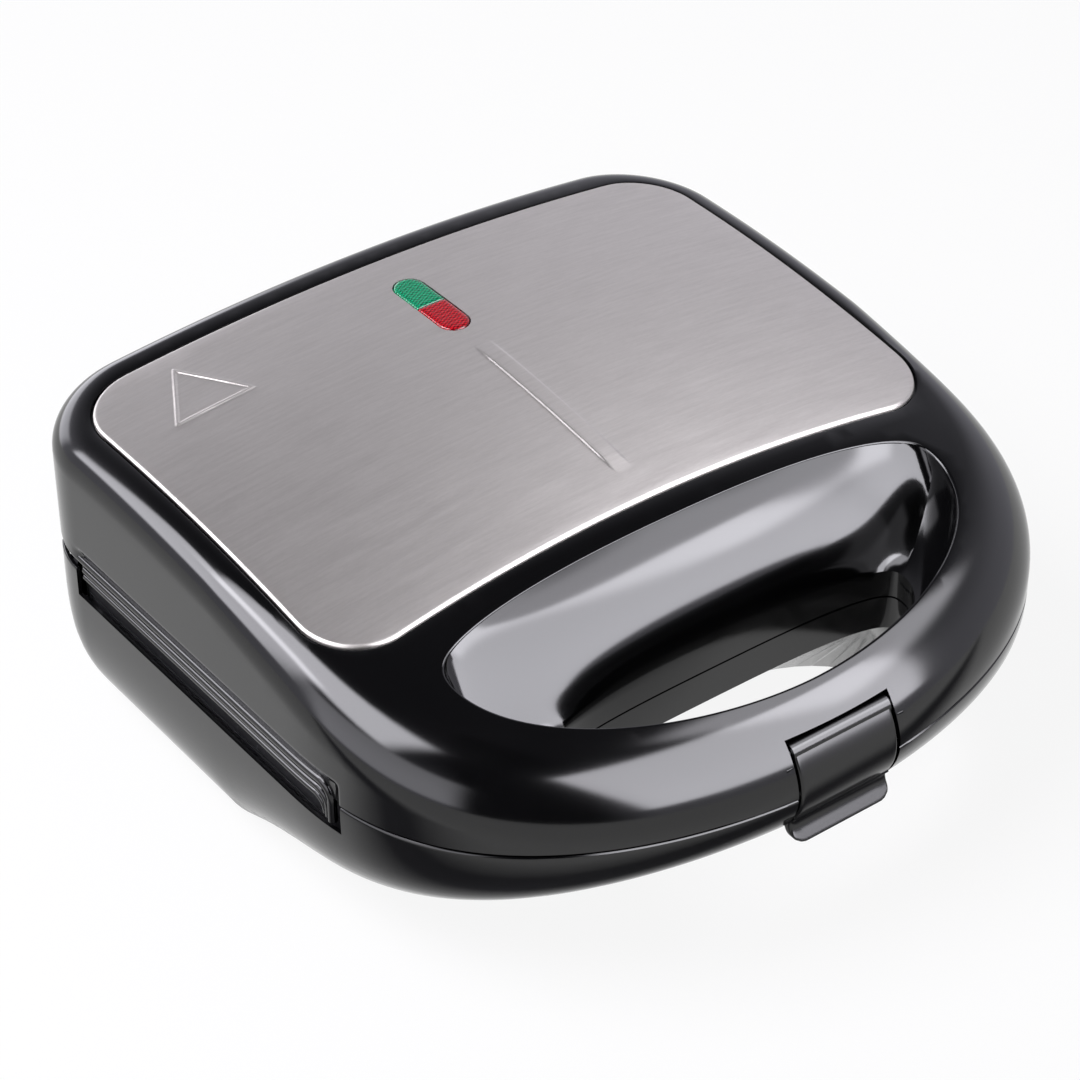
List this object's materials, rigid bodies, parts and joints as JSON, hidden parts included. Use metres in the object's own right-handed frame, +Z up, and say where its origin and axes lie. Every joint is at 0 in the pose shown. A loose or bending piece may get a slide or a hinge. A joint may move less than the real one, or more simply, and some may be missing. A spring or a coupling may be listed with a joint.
{
  "type": "sandwich toaster",
  "caption": "Closed-lid sandwich toaster with a brushed steel top, a loop handle with a snap latch, and hinged coated plates with triangular pockets.",
  "frame": {"origin": "centre of the footprint, on the worktop under the feet", "axes": "+Z up, -Y towards the handle and latch, +Y towards the hinge and mains inlet, +X to the right seen from the handle"},
  "size_m": [0.232, 0.2308, 0.1034],
  "materials": {
    "shell_black": "glossy moulded black",
    "frame_black": "matt moulded black",
    "panel_steel": "brushed across the width",
    "lens_green": "clear green tint, ribbed",
    "lens_red": "clear red tint, ribbed",
    "plate_coating": "black non-stick coating",
    "heater_steel": "oxidised tube",
    "shield_aluminium": "mill finish sheet",
    "screw_steel": "zinc plated",
    "pin_steel": "ground",
    "ceramic": "glazed block",
    "lamp_glass": "clear",
    "lead_sleeve": "braided sleeve",
    "rubber_black": "matt",
    "holder_white": "moulded"
  },
  "bodies": {
    "base": {"hinge_pins": "pin_steel", "base_housing": "shell_black", "base_frame": "frame_black", "base_plate": "plate_coating", "base_heater": "heater_steel", "base_shield": "shield_aluminium", "base_plate_screws": "screw_steel", "base_frame_screws": "screw_steel", "base_lead": "lead_sleeve", "thermostat": "shield_aluminium", "thermal_fuse": "ceramic", "terminal_block": "ceramic", "terminal_screws": "screw_steel", "cord_gland": "rubber_black", "cord_clamp": "frame_black", "cord_clamp_screws": "screw_steel", "feet": "rubber_black"},
    "lid": {"lid_housing": "shell_black", "lid_frame": "frame_black", "steel_panel": "panel_steel", "lens_green": "lens_green", "lens_red": "lens_red", "lamp_holder": "holder_white", "neon_lamps": "lamp_glass", "lid_plate": "plate_coating", "lid_heater": "heater_steel", "lid_shield": "shield_aluminium", "lid_plate_screws": "screw_steel", "lid_frame_screws": "screw_steel", "lamp_holder_screws": "screw_steel", "lid_junction": "ceramic", "lid_lead": "lead_sleeve", "latch_pin": "pin_steel"},
    "latch": {"latch": "shell_black"}
  },
  "joints": [
    {"name": "lid_hinge", "type": "hinge", "parent": "base", "child": "lid", "pos_m": [0, 0.1056, 0.0415], "axis": [-1, 0, 0], "range_deg": [0, 95]},
    {"name": "latch_hinge", "type": "hinge", "parent": "lid", "child": "latch", "pos_m": [0, -0.1084, 0.0635], "axis": [-1, 0, 0], "range_deg": [0, 22]}
  ]
}
